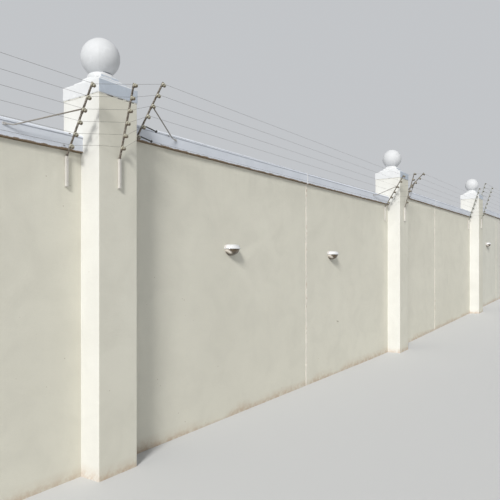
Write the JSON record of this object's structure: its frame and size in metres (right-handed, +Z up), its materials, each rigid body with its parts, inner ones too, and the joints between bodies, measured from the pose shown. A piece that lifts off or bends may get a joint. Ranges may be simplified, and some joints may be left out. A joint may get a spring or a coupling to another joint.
{
  "type": "garden wall",
  "caption": "Rendered garden wall that steps up in bays between square piers with stepped caps and ball finials, with a strand fence on leaning brackets and half-round lights",
  "frame": {"origin": "middle of the foot of pier_3, the middle pier, at the level of the lowest foot", "axes": "+X along the wall, to the right as seen from its front; -Y out of its front; +Z up"},
  "size_m": [24.106, 0.7856, 4.4542],
  "materials": {
    "render": "smooth cement render, off-white coat, a little uneven",
    "white_coping": "cast concrete painted white, worn at the edges",
    "joint_strip": "flush filler strip painted with the wall",
    "bracket_steel": "weathered steel bar, dull grey brown",
    "insulator": "dull beige bobbins",
    "wire": "thin dull wire",
    "black_plastic": "black moulded plastic",
    "light_hood": "white paint",
    "light_bowl": "brown smoked glass"
  },
  "bodies": {
    "root": {"pier_1": "render", "pier_2": "render", "pier_3": "render", "pier_4": "render", "pier_5": "render", "pier_cap_1": "white_coping", "pier_cap_2": "white_coping", "pier_cap_3": "white_coping", "pier_cap_4": "white_coping", "pier_cap_5": "white_coping", "ball_finial_1": "white_coping", "ball_finial_2": "white_coping", "ball_finial_3": "white_coping", "ball_finial_4": "white_coping", "ball_finial_5": "white_coping", "wall_1": "render", "wall_2": "render", "wall_3": "render", "wall_4": "render", "movement_joint_1": "joint_strip", "movement_joint_2": "joint_strip", "movement_joint_3": "joint_strip", "movement_joint_4": "joint_strip", "coping_1": "white_coping", "coping_2": "white_coping", "coping_3": "white_coping", "coping_4": "white_coping", "fence_brackets_1": "bracket_steel", "fence_brackets_2": "bracket_steel", "fence_brackets_3": "bracket_steel", "fence_brackets_4": "bracket_steel", "fence_brackets_5": "bracket_steel", "insulators_1": "insulator", "insulators_2": "insulator", "insulators_3": "insulator", "insulators_4": "insulator", "insulators_5": "insulator", "fence_wires_1": "wire", "fence_wires_2": "wire", "fence_wires_3": "wire", "fence_wires_4": "wire", "pier_wires_1": "wire", "pier_wires_2": "wire", "pier_wires_3": "wire", "pier_wires_4": "wire", "pier_wires_5": "wire", "end_insulators": "black_plastic", "light_hoods": "light_hood", "light_bowls": "light_bowl"}
  },
  "joints": []
}
